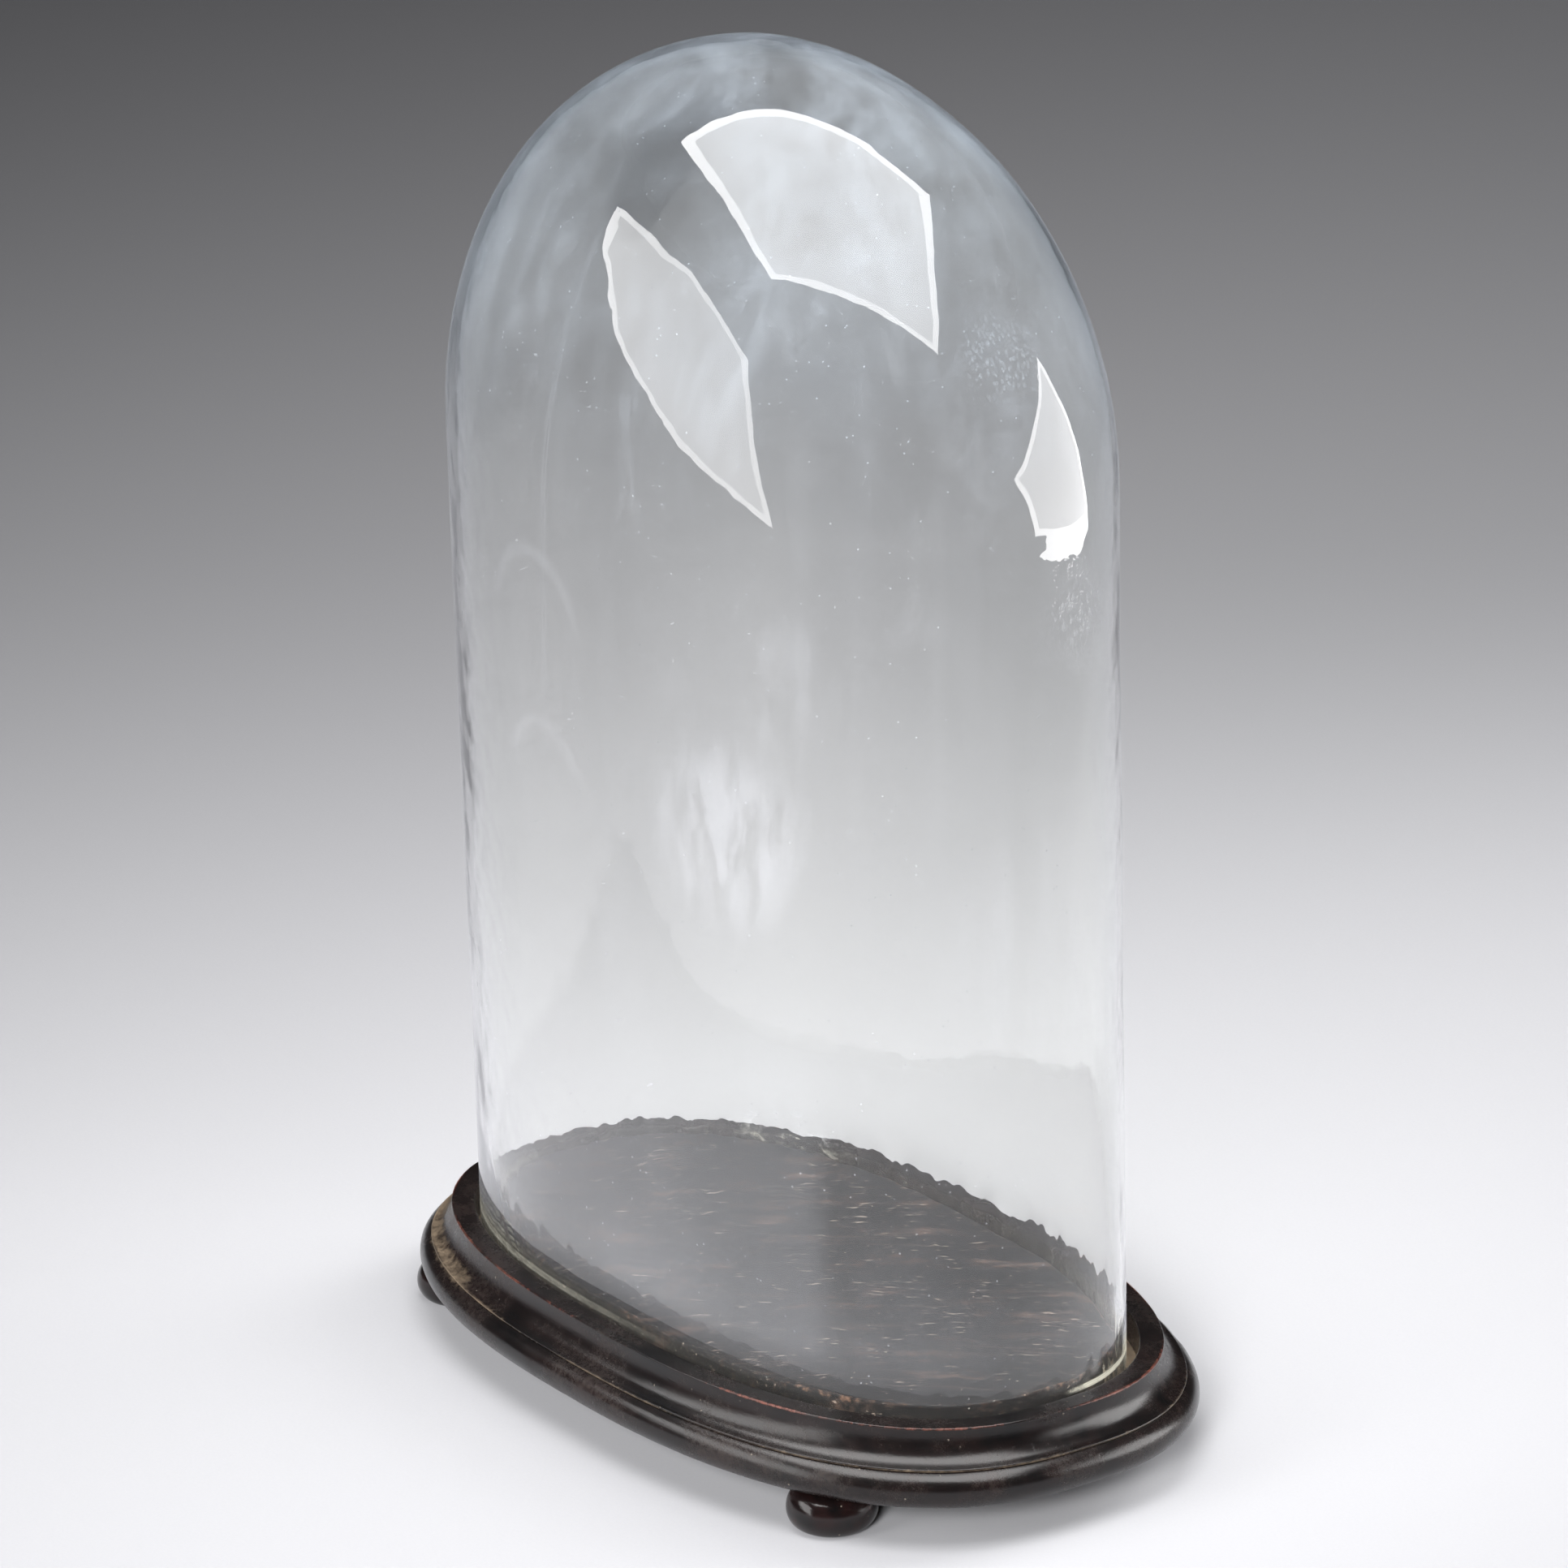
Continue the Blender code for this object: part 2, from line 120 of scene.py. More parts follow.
class Graph:
    """One material and short ways to add nodes to it."""

    def __init__(self, name):
        self.material = bpy.data.materials.new(name)
        self.material.use_nodes = True
        self.tree = self.material.node_tree
        self.tree.nodes.clear()
        self.coordinates = self.node("ShaderNodeTexCoord").outputs["Object"]

    def node(self, kind, inputs=None, **settings):
        node = self.tree.nodes.new(kind)
        for key, value in settings.items():
            setattr(node, key, value)
        for key, value in (inputs or {}).items():
            self.set(node.inputs[key], value)
        return node

    def set(self, socket, value):
        if isinstance(value, bpy.types.NodeSocket):
            self.tree.links.new(value, socket)
        else:
            socket.default_value = value

    def math(self, operation, first, second=0.0, third=0.0):
        values = {0: first, 1: second, 2: third}
        return self.node("ShaderNodeMath", values, operation=operation).outputs[0]

    def add(self, *values):
        total = values[0]
        for value in values[1:]:
            total = self.math("ADD", total, value)
        return total

    def times(self, *values):
        total = values[0]
        for value in values[1:]:
            total = self.math("MULTIPLY", total, value)
        return total

    def swing(self, value, amount):
        """A value around 0.5 turned into a swing around 0."""
        return self.times(self.math("SUBTRACT", value, 0.5), amount)

    def apart(self, first, second):
        return self.math("ABSOLUTE", self.math("SUBTRACT", first, second))

    def away(self, point):
        values = {0: self.coordinates, 1: point}
        return self.node("ShaderNodeVectorMath", values, operation="DISTANCE").outputs["Value"]

    def place(self, scale=(1.0, 1.0, 1.0), turn=0.0):
        """Coordinates turned about Z, and then scaled."""
        values = {"Vector": self.coordinates, "Rotation": (0.0, 0.0, turn)}
        turned = self.node("ShaderNodeMapping", values).outputs[0]
        return self.node("ShaderNodeMapping", {"Vector": turned, "Scale": scale}).outputs[0]

    def noise(self, scale, detail=4.0, roughness=0.55, vector=None, distortion=0.0):
        values = {"Vector": vector or self.coordinates, "Scale": scale, "Detail": detail}
        values.update({"Roughness": roughness, "Distortion": distortion})
        return self.node("ShaderNodeTexNoise", values).outputs["Fac"]

    def cells(self, scale, vector=None):
        """Distance to the nearest scattered point, and that point's random colour."""
        values = {"Vector": vector or self.coordinates, "Scale": scale}
        node = self.node("ShaderNodeTexVoronoi", values)
        return node.outputs["Distance"], node.outputs["Color"]

    def chosen(self, shade, low, high):
        """1 for the scattered points whose random colour is above high, 0 for those below low."""
        return self.step(self.node("ShaderNodeSeparateColor", {"Color": shade}).outputs[0], low, high)

    def step(self, value, low, high, bottom=0.0, top=1.0):
        """A smooth step of value from low to high, scaled to bottom..top."""
        values = {"Value": value, "From Min": low, "From Max": high, "To Min": bottom, "To Max": top}
        return self.node("ShaderNodeMapRange", values, interpolation_type="SMOOTHSTEP").outputs[0]

    def near(self, point, radius, core=0.5):
        """1 within core * radius of a point, fading to 0 at the radius."""
        return self.step(self.away(point), radius, radius * core)

    def ramp(self, value, stops):
        node = self.node("ShaderNodeValToRGB", {"Fac": value})
        elements = node.color_ramp.elements
        while len(elements) < len(stops):
            elements.new(1.0)
        for element, (position, colour) in zip(elements, stops):
            element.position = position
            element.color = (*colour, 1.0)
        return node.outputs["Color"]

    def blend(self, factor, first, second):
        """Mixes two colours."""
        node = self.node("ShaderNodeMix", {0: factor}, data_type="RGBA")
        for socket, colour in ((node.inputs[6], first), (node.inputs[7], second)):
            self.set(socket, (*colour, 1.0) if isinstance(colour, tuple) else colour)
        return node.outputs[2]

    def attribute(self, name):
        return self.node("ShaderNodeAttribute", attribute_name=name).outputs["Fac"]

    def bump(self, height, distance, strength):
        values = {"Height": height, "Distance": distance, "Strength": strength}
        return self.node("ShaderNodeBump", values).outputs[0]

    def mix(self, factor, first, second):
        """Mixes two shaders."""
        return self.node("ShaderNodeMixShader", {0: factor, 1: first, 2: second}).outputs[0]

    def principled(self, values):
        return self.node("ShaderNodeBsdfPrincipled", values).outputs[0]

    def finish(self, surface):
        self.tree.links.new(surface, self.node("ShaderNodeOutputMaterial").inputs["Surface"])
        return self.material


# Camera, lights and floor


def direction(azimuth, elevation):
    """From the object towards a viewer at this azimuth (0 is -Y, 90 is +X) and elevation."""
    level = math.cos(elevation)
    return Vector((math.sin(azimuth) * level, -math.cos(azimuth) * level, math.sin(elevation)))


def camera_right():
    return Vector((math.cos(CAMERA_AZIMUTH), math.sin(CAMERA_AZIMUTH), 0.0))


def add_camera():
    back = direction(CAMERA_AZIMUTH, CAMERA_ELEVATION)
    right = camera_right()
    up = back.cross(right)
    turned = right * math.cos(CAMERA_ROLL) + up * math.sin(CAMERA_ROLL)
    data = bpy.data.cameras.new("camera")
    data.lens = CAMERA_LENS
    data.sensor_width = CAMERA_SENSOR
    data.clip_start, data.clip_end = 0.01, 60.0
    camera = bpy.data.objects.new("camera", data)
    axes = Matrix((turned, back.cross(turned), back)).transposed().to_4x4()
    camera.matrix_world = Matrix.Translation(CAMERA_AIM + back * CAMERA_DISTANCE) @ axes
    bpy.context.scene.collection.objects.link(camera)
    bpy.context.scene.camera = camera


def softbox_glow(name, strength):
    """Light from a sheet's front. The sheet itself is clear."""
    graph = Graph(name)
    backfacing = graph.node("ShaderNodeNewGeometry").outputs["Backfacing"]
    level = graph.times(graph.math("SUBTRACT", 1.0, backfacing), strength)
    glow = graph.node("ShaderNodeEmission", {"Color": (1.0, 0.99, 0.985, 1.0), "Strength": level})
    clear = graph.node("ShaderNodeBsdfTransparent")
    both = graph.node("ShaderNodeAddShader", {0: glow.outputs[0], 1: clear.outputs[0]})
    return graph.finish(both.outputs[0])


def add_softbox(name, corners, strength):
    """A sheet of light with a brighter border, seen only in gloss. The fills do its share of the rest."""
    centre = sum(corners, Vector()) / len(corners)
    facing = (corners[1] - corners[0]).cross(corners[2] - corners[0])
    if facing.dot(SOFTBOX_AIM - centre) < 0.0:
        corners = corners[::-1]
    inner = [centre + (corner - centre) * PANEL_SHARE for corner in corners]
    count = len(corners)
    faces = [tuple(range(count, 2 * count))]
    faces += [(i, (i + 1) % count, count + (i + 1) % count, count + i) for i in range(count)]
    mesh = bpy.data.meshes.new(name)
    mesh.from_pydata(corners + inner, [], faces)
    for index, level in enumerate((PANEL_LEVEL, BORDER_LEVEL)):
        mesh.materials.append(softbox_glow(f"{name}_{index}", strength * level))
    for face in mesh.polygons:
        face.material_index = 0 if face.index == 0 else 1
    light = bpy.data.objects.new(name, mesh)
    light.visible_camera = False
    light.visible_transmission = False
    light.visible_shadow = False
    light.visible_diffuse = False
    bpy.context.scene.collection.objects.link(light)


def add_fill(name, place, size, power, spread):
    """A square light aimed at the stand, with its spread in degrees. It is not seen in gloss."""
    data = bpy.data.lights.new(name, "AREA")
    data.size = size
    data.energy = power
    data.spread = math.radians(spread)
    lamp = bpy.data.objects.new(name, data)
    lamp.location = place
    lamp.rotation_euler = (FILL_AIM - place).to_track_quat("-Z", "Y").to_euler()
    lamp.visible_glossy = False
    lamp.visible_transmission = False
    lamp.visible_camera = False
    bpy.context.scene.collection.objects.link(lamp)


def add_lights():
    """Three softboxes and four fills, placed by r to the camera's right, f towards it and z up."""
    right, front = camera_right(), direction(CAMERA_AZIMUTH, 0.0)
    top_height, left_place, right_place = 1.2, -1.2, 0.95

    def place(r, f, z):
        return right * r + front * f + Vector((0.0, 0.0, z))

    top = [(-0.80, -0.44), (0.53, -0.15), (0.74, 1.03), (-0.83, 0.60)]
    left = [(-0.46, 0.92), (-0.38, 0.76), (-0.13, 0.53), (0.27, 0.28)]
    left += [(1.03, 0.0), (0.72, 0.85), (0.15, 0.98)]
    side = [(0.035, 0.664), (0.532, 0.309), (0.377, 0.070), (-0.31, 0.050), (-0.193, 0.248)]
    add_softbox("softbox_top", [place(r, f, top_height) for r, f in top], 8.0)
    add_softbox("softbox_left", [place(left_place, f, z) for f, z in left], 5.7)
    add_softbox("softbox_right", [place(right_place, f, z) for f, z in side], 7.6)
    add_fill("fill_top", place(0.0, 0.65, 1.7), 0.9, 24.0, 180)
    add_fill("fill_front", place(-0.8, 3.4, 1.55), 1.2, 7.6, 24)
    add_fill("fill_left", place(-1.0, 0.7, 0.5), 0.7, 1.5, 60)
    add_fill("fill_right", place(1.0, -0.4, 0.7), 0.8, 2.5, 60)


def add_world():
    """A weak even light, and colours shown as they are."""
    world = bpy.data.worlds.new("studio")
    world.use_nodes = True
    background = world.node_tree.nodes["Background"]
    background.inputs["Color"].default_value = (0.95, 0.96, 1.0, 1.0)
    background.inputs["Strength"].default_value = 0.06
    bpy.context.scene.world = world
    bpy.context.scene.view_settings.view_transform = "Standard"
    bpy.context.scene.view_settings.look = "None"
    bpy.context.scene.view_settings.exposure = 0.0


def add_floor():
    """A round sheet of pale paper that curves up far away."""
    flat, bend, height, steps = 7.0, 1.5, 5.0, 96
    profile = [(0.5, 0.0), (1.5, 0.0), (4.0, 0.0), (flat, 0.0)]
    profile += arc((flat, bend), (bend, bend), -80, 0, 8)
    profile.append((flat + bend, height))
    angles = [2 * math.pi * i / steps for i in range(steps)]
    vertices = [(r * math.cos(a), r * math.sin(a), z) for a in angles for r, z in profile]
    centre, size = len(vertices), len(profile)
    vertices.append((0.0, 0.0, 0.0))
    faces = [(centre, i * size, (i + 1) % steps * size) for i in range(steps)]
    mesh = bpy.data.meshes.new("floor")
    mesh.from_pydata(vertices, [], faces + strip_faces(steps, size))
    mesh.shade_smooth()
    graph = Graph("studio_paper")
    grain = graph.noise(900.0, 3.0, 0.6)
    shade = graph.ramp(grain, [(0.3, (0.458, 0.457, 0.475)), (0.7, (0.472, 0.471, 0.489))])
    values = {"Base Color": shade, "Roughness": 0.6, "Specular IOR Level": 0.15}
    mesh.materials.append(graph.finish(graph.principled(values)))
    floor = bpy.data.objects.new("floor", mesh)
    bpy.context.scene.collection.objects.link(floor)


# Materials


def ebonised_wood(name, shine=0.25, red=0.35):
    """Black-stained hardwood under old polish: worn red-brown on its edges, dusty in its hollows."""
    graph = Graph(name)
    wear, dust = graph.attribute("wear"), graph.attribute("dust")
    cloud = graph.noise(38.0, 5.0, 0.6)
    grain = graph.noise(120.0, 6.0, 0.65, graph.place((0.12, 1.6, 1.6)))
    pores = graph.noise(1500.0, 3.0, 0.6, graph.place((0.06, 1.0, 1.0)))
    fine = graph.noise(2600.0, 2.0, 0.5)
    clumps = graph.noise(330.0, 6.0, 0.75)
    scratch = graph.step(graph.noise(190.0, 3.0, 0.6, graph.place((0.10, 2.2, 2.2), 0.35)), 0.66, 0.72)

    black, brown = (0.0028, 0.0026, 0.0027), (0.0060 + 0.010 * red, 0.0052, 0.0048)
    colour = graph.ramp(graph.times(graph.add(cloud, grain), 0.5), [(0.38, black), (0.64, brown)])
    worn = graph.step(graph.add(wear, graph.swing(graph.noise(420.0, 5.0, 0.7), 0.9)), 0.62, 1.05)
    pale = graph.step(graph.add(wear, graph.swing(graph.noise(700.0, 3.0, 0.6), 0.9)), 1.05, 1.35)
    veil = graph.step(graph.add(dust, graph.swing(clumps, 1.3)), 0.36, 1.10, 0.0, 0.85)
    grime = graph.step(graph.noise(600.0, 5.0, 0.8), 0.42, 0.68)
    film = graph.times(grime, graph.step(cloud, 0.38, 0.66), 0.11)
    distance, shade = graph.cells(420.0)
    ragged = graph.add(distance, graph.swing(graph.noise(2400.0, 2.0, 0.6), 0.35))
    sparse = graph.step(graph.noise(25.0, 2.0), 0.38, 0.6)
    speck = graph.times(graph.step(ragged, 0.17, 0.08), graph.chosen(shade, 0.90, 0.92), sparse)
    colour = graph.blend(worn, colour, (0.130, 0.038, 0.024))
    colour = graph.blend(pale, colour, (0.36, 0.24, 0.17))
    colour = graph.blend(veil, colour, (0.175, 0.130, 0.086))
    colour = graph.blend(film, colour, (0.120, 0.095, 0.075))
    colour = graph.blend(graph.times(speck, 0.40), colour, (0.36, 0.31, 0.25))

    roughness = graph.add(shine, graph.swing(cloud, 0.34), graph.swing(fine, 0.16))
    roughness = graph.add(roughness, graph.times(film, 0.8), graph.times(veil, 0.45), graph.times(worn, 0.10))
    height = graph.add(graph.times(pores, 0.40), graph.times(cloud, 0.5), graph.times(fine, 0.26))
    height = graph.add(height, graph.times(scratch, -0.30), graph.times(veil, clumps, 0.9))
    height = graph.add(height, graph.times(film, 1.5), graph.times(speck, 1.2))
    values = {"Base Color": colour, "Roughness": graph.math("MINIMUM", roughness, 0.95)}
    values.update({"Normal": graph.bump(height, 0.00016, 0.5), "Specular IOR Level": 0.38})
    return graph.finish(graph.principled(values))


def platform_wood():
    """The black board under the dome: matt, scratched along its grain, with brown worn spots."""
    graph = Graph("platform_wood_worn")
    wear, dust = graph.attribute("wear"), graph.attribute("dust")
    turn = math.radians(-52)
    cloud = graph.noise(22.0, 5.0, 0.62)
    grain = graph.noise(150.0, 6.0, 0.65, graph.place((0.09, 1.5, 1.0), turn))
    stops = [(0.36, (0.0040, 0.0042, 0.0052)), (0.64, (0.0100, 0.0092, 0.0105))]
    colour = graph.ramp(graph.times(graph.add(cloud, grain), 0.5), stops)

    patch = graph.step(graph.noise(70.0, 6.0, 0.75, graph.place((0.5, 1.2, 1.0), turn)), 0.53, 0.70)
    dash = graph.step(graph.noise(800.0, 2.0, 0.5, graph.place((0.25, 1.0, 1.0), turn)), 0.61, 0.72)
    dashes = graph.times(dash, graph.step(graph.noise(60.0, 4.0, 0.7), 0.46, 0.60))
    long_marks = graph.noise(700.0, 3.0, 0.6, graph.place((0.06, 1.0, 1.0), turn + 0.06))
    streak = graph.times(graph.step(long_marks, 0.58, 0.70), 0.40)
    distance, shade = graph.cells(420.0)
    speck = graph.times(graph.step(distance, 0.16, 0.09), graph.chosen(shade, 0.86, 0.88))
    worn = graph.step(graph.add(wear, graph.swing(graph.noise(380.0, 4.0, 0.7), 1.2)), 0.55, 1.0)
    settled = graph.add(dust, graph.swing(graph.noise(300.0, 6.0, 0.75), 1.2))
    veil = graph.step(settled, 0.30, 1.05, 0.0, 0.8)
    colour = graph.blend(graph.times(patch, 0.65), colour, (0.085, 0.052, 0.040))
    colour = graph.blend(streak, colour, (0.070, 0.050, 0.042))
    colour = graph.blend(graph.times(dashes, 0.38), colour, (0.480, 0.380, 0.320))
    colour = graph.blend(graph.times(speck, 0.6), colour, (0.34, 0.27, 0.22))
    colour = graph.blend(worn, colour, (0.160, 0.090, 0.060))
    colour = graph.blend(veil, colour, (0.15, 0.11, 0.08))

    roughness = graph.add(0.55, graph.swing(grain, 0.2), graph.times(patch, 0.08), graph.times(veil, 0.3))
    height = graph.add(graph.times(grain, 0.35), graph.times(dashes, -0.5), graph.times(streak, -0.3))
    height = graph.add(height, graph.times(graph.noise(1800.0, 2.0), 0.12), graph.times(speck, 0.8))
    values = {"Base Color": colour, "Roughness": roughness, "Specular IOR Level": 0.3}
    values["Normal"] = graph.bump(height, 0.00020, 0.6)
    return graph.finish(graph.principled(values))


def screw_steel():
    graph = Graph("screw_steel_aged")
    rust = graph.step(graph.noise(900.0, 5.0, 0.7), 0.45, 0.68)
    colour = graph.blend(rust, (0.30, 0.28, 0.26), (0.085, 0.042, 0.024))
    roughness = graph.step(rust, 0.0, 1.0, 0.38, 0.85)
    normal = graph.bump(graph.noise(2500.0, 3.0), 0.00012, 0.5)
    values = {"Base Color": colour, "Metallic": 0.85, "Roughness": roughness, "Normal": normal}
    return graph.finish(graph.principled(values))


class GlassGraph(Graph):
    """The dome's material. Most methods give the haze of one kind of mark, placed in the object's metres."""

    def __init__(self, name):
        super().__init__(name)
        axes = self.node("ShaderNodeSeparateXYZ", {"Vector": self.coordinates})
        self.x, self.y, self.height = axes.outputs["X"], axes.outputs["Y"], axes.outputs["Z"]
        self.upper = self.step(self.height, 0.19, SHOULDER + 0.01)
        self.cloud = self.noise(15.0, 5.0, 0.6, None, 0.6)
        self.wisps = self.noise(26.0, 6.0, 0.68, self.place((1.0, 1.0, 0.45), 0.4), 1.2)
        self.streaks = self.noise(60.0, 5.0, 0.6, self.place((1.2, 1.2, 0.07)))
        self.fine = self.noise(500.0, 4.0, 0.7)

    def film(self):
        """A thin film all over, denser above, in streaks and stains, and towards the outline."""
        freckles = self.times(self.step(self.fine, 0.56, 0.72), self.step(self.cloud, 0.4, 0.6), 0.010)
        stains = self.times(self.step(self.wisps, 0.54, 0.60), self.step(self.cloud, 0.45, 0.6), 0.022)
        wiped = self.times(self.step(self.streaks, 0.48, 0.78), self.step(self.height, 0.06, 0.16), 0.014)
        slant = self.node("ShaderNodeLayerWeight", {"Blend": 0.5}).outputs["Facing"]
        outline = self.times(self.math("POWER", slant, 4.0), self.step(self.fine, 0.30, 0.60, 0.6, 1.0), 0.20)
        upper = self.times(self.upper, self.add(0.008, stains))
        return self.add(0.006, upper, freckles, wiped, outline)

    def crown_bloom(self):
        """Bloom on the crown, wiped thin in one patch, and more of it at the top."""
        crown = self.step(self.height, SHOULDER - 0.02, GLASS_TOP - 0.02)
        mottle = self.add(self.times(self.cloud, 0.55), self.times(self.wisps, 0.45))
        patch = self.near((0.016, -0.057, 0.413), 0.040, 0.4)
        kept = self.math("SUBTRACT", 1.0, self.times(patch, 0.85))
        bloom = self.times(crown, self.step(mottle, 0.40, 0.62, 0.0, 0.055), kept)
        cap = self.near((0.030, 0.000, 0.446), 0.060, 0.3)
        return self.add(bloom, self.times(cap, self.step(self.wisps, 0.35, 0.60), 0.055))

    def smears(self):
        """A smear on the front, its tail above it, and a streaky patch round to the right."""
        shape = self.noise(120.0, 5.0, 0.6, self.place((1.0, 1.0, 0.30)))
        smear = self.near((0.074, -0.076, 0.222), 0.040, 0.30)
        tail = self.near((0.092, -0.068, 0.275), 0.030, 0.2)
        patch = self.near((0.134, 0.012, 0.185), 0.055, 0.2)
        smear = self.times(smear, self.step(shape, 0.42, 0.56), 0.080)
        tail = self.times(tail, self.step(shape, 0.42, 0.66), 0.045)
        return self.add(smear, tail, self.times(patch, self.step(self.streaks, 0.44, 0.66), 0.050))

    def wiping_arc(self, centre, radius):
        """The upper half of a ring that a cloth left."""
        band = self.step(self.apart(self.away(centre), radius), 0.0035, 0.0005)
        return self.times(band, self.step(self.height, centre[2], centre[2] + 0.010), 0.022)

    def drops(self):
        """Two patches of dried drops, each a small ring."""
        distance, shade = self.cells(850.0, self.place((1.0, 1.0, 0.5)))
        high = self.near((0.122, -0.001, 0.373), 0.020, 0.3)
        low = self.near((0.131, 0.020, 0.290), 0.024, 0.2)
        ring = self.times(self.step(distance, 0.42, 0.34), self.step(distance, 0.14, 0.26))
        return self.times(ring, self.add(high, low), self.chosen(shade, 0.35, 0.4), 0.13)

    def motes(self):
        distance, shade = self.cells(330.0)
        return self.times(self.step(distance, 0.13, 0.07), self.chosen(shade, 0.80, 0.82), 0.25)

    def hairline(self):
        """A long, slightly bent line up the front."""
        bend = self.math("MULTIPLY_ADD", self.height, 0.10, self.times(self.noise(9.0, 1.0), 0.006))
        line = self.step(self.apart(self.x, self.math("SUBTRACT", bend, 0.0395)), 0.0007, 0.0002)
        length = self.times(self.step(self.height, 0.20, 0.27), self.step(self.height, 0.42, 0.38))
        return self.times(line, self.step(self.y, -0.055, -0.065), length, 0.04)

    def cracks(self):
        """Crazed marks low on the back, to the left."""
        shape = self.noise(210.0, 5.0, 0.75, self.place((0.6, 0.6, 2.0)))
        patch = self.near((-0.090, 0.060, 0.045), 0.030, 0.35)
        return self.times(patch, self.step(self.height, 0.052, 0.046), self.step(shape, 0.56, 0.62), 0.22)

    def painted_foot_glint(self):
        """A painted glint: pale cream haze in a line where the glass enters the groove, and a band at the
        right end. It stands in for floor light refracted through the glass's foot.
        """
        # Painted glint, not dust: the cream line and band stand in for refracted floor light.
        line = self.step(self.apart(self.height, RIM_TOP), 0.0009, 0.0003)
        left = self.times(self.step(self.x, 0.050, -0.060, 0.0, 0.15), self.step(self.y, -0.010, -0.030))
        right = self.times(self.near((0.131, 0.032, RIM_TOP), 0.029, 0.6), 0.75)
        broken = self.step(self.noise(130.0, 4.0, 0.7), 0.30, 0.55, 0.4, 1.0)
        uneven = self.step(self.noise(90.0, 3.0), 0.3, 0.6)
        band = self.times(self.near((0.117, 0.049, 0.044), 0.017), uneven, 0.32)
        return self.add(self.times(line, self.add(left, right), broken), band)

    def low_haze(self):
        """Haze on the lower wall, most on the front, where nobody wiped. The foot is cleaner."""
        above_foot = self.step(self.height, RIM_TOP + 0.004, RIM_TOP + 0.022)
        front = self.times(self.step(self.x, 0.106, 0.094), self.step(self.y, -0.020, -0.045))
        unwiped = self.times(front, self.step(self.height, 0.190, 0.090), 0.025)
        low = self.times(self.step(self.height, 0.11, 0.035), self.step(self.cloud, 0.30, 0.65), 0.030)
        return self.times(self.add(unwiped, low), above_foot)

    def tint(self):
        """The haze's colour: cream in the groove and on the painted glint at the glass's foot, grey above it,
        bluish on the crown.
        """
        wall = self.step(self.height, RIM_TOP + 0.001, RIM_TOP + 0.008)
        lower = self.blend(wall, (0.88, 0.85, 0.72), (0.78, 0.79, 0.85))
        return self.blend(self.step(self.height, 0.26, 0.40), lower, (0.74, 0.83, 0.94))


def old_glass():
    """Clear blown glass, faintly green, under the haze of its marks and a painted glint along its foot. It
    casts hardly any shadow.
    """
    graph = GlassGraph("old_glass")
    drops = graph.drops()
    arcs = [graph.wiping_arc((-0.016, -0.083, z), radius) for z, radius in ((0.272, 0.024), (0.219, 0.020))]
    marks = graph.add(graph.film(), graph.crown_bloom(), graph.smears(), *arcs, drops, graph.motes())
    # The foot's line and band are a painted glint: cream haze standing in for floor light refracted through
    # the glass's foot.
    marks = graph.add(marks, graph.hairline(), graph.cracks(), graph.painted_foot_glint(), graph.low_haze())
    haze = graph.math("MINIMUM", marks, 0.6)
    ripples = graph.add(graph.noise(34.0, 2.0), graph.times(graph.noise(140.0, 2.0), 0.05))
    relief = graph.add(ripples, graph.times(drops, 0.25))
    roughness = graph.times(graph.step(graph.wisps, 0.5, 0.75), graph.upper, 0.010)
    values = {"Base Color": (0.985, 0.989, 0.978, 1.0), "Roughness": roughness, "IOR": 1.5}
    values.update({"Transmission Weight": 1.0, "Normal": graph.bump(relief, 0.0006, 0.35)})
    tint = graph.tint()
    veil = graph.node("ShaderNodeBsdfDiffuse", {"Color": tint}).outputs[0]
    through = graph.node("ShaderNodeBsdfTranslucent", {"Color": tint}).outputs[0]
    glass = graph.mix(haze, graph.principled(values), graph.mix(0.35, veil, through))
    shadow = graph.node("ShaderNodeLightPath").outputs["Is Shadow Ray"]
    lit = graph.node("ShaderNodeBsdfTransparent", {"Color": (0.984, 0.986, 0.984, 1.0)}).outputs[0]
    return graph.finish(graph.mix(shadow, glass, lit))


# Shapes


def oval_point(half_length, half_width, exponent, angle):
    cosine, sine = math.cos(angle), math.sin(angle)
    x = half_length * math.copysign(abs(cosine) ** (2 / exponent), cosine)
    y = half_width * math.copysign(abs(sine) ** (2 / exponent), sine)
    return x, y


def plan_point(offset, angle):
    return oval_point(HALF_LENGTH + offset, HALF_WIDTH + offset, EXPONENT, angle)


def rough(x, y, z, scale, seed):
    """Smooth noise from -1 to 1."""
    return noise.noise(Vector((x * scale + seed, y * scale - seed, z * scale + 2.0 * seed)))


def add_piece(name, mesh, material, body, node, sharp=50):
    """Puts a mesh in place of a node. Edges sharper than this angle in degrees stay sharp."""
    mesh.materials.append(material)
    mesh.shade_smooth()
    mesh.set_sharp_from_angle(angle=math.radians(sharp))
    piece = bpy.data.objects.new(name, mesh)
    bpy.context.scene.collection.objects.link(piece)
    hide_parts(node)
    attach(piece, body)


def outward_mesh(name, vertices, faces, marks):
    """A mesh with outward normals and one float attribute for each entry of marks."""
    mesh = bpy.data.meshes.new(name)
    mesh.from_pydata(vertices, [], faces)
    edit = bmesh.new()
    edit.from_mesh(mesh)
    bmesh.ops.recalc_face_normals(edit, faces=edit.faces)
    edit.to_mesh(mesh)
    edit.free()
    for key, values in marks.items():
        mesh.attributes.new(key, "FLOAT", "POINT").data.foreach_set("value", values)
    return mesh


def left_end(x):
    """1 at the end of the oval where dust has settled most, less beside it, 0 elsewhere."""
    return 0.65 * clamp((-x - 0.070) / 0.010) + 0.35 * clamp((-x - 0.032) / 0.012)


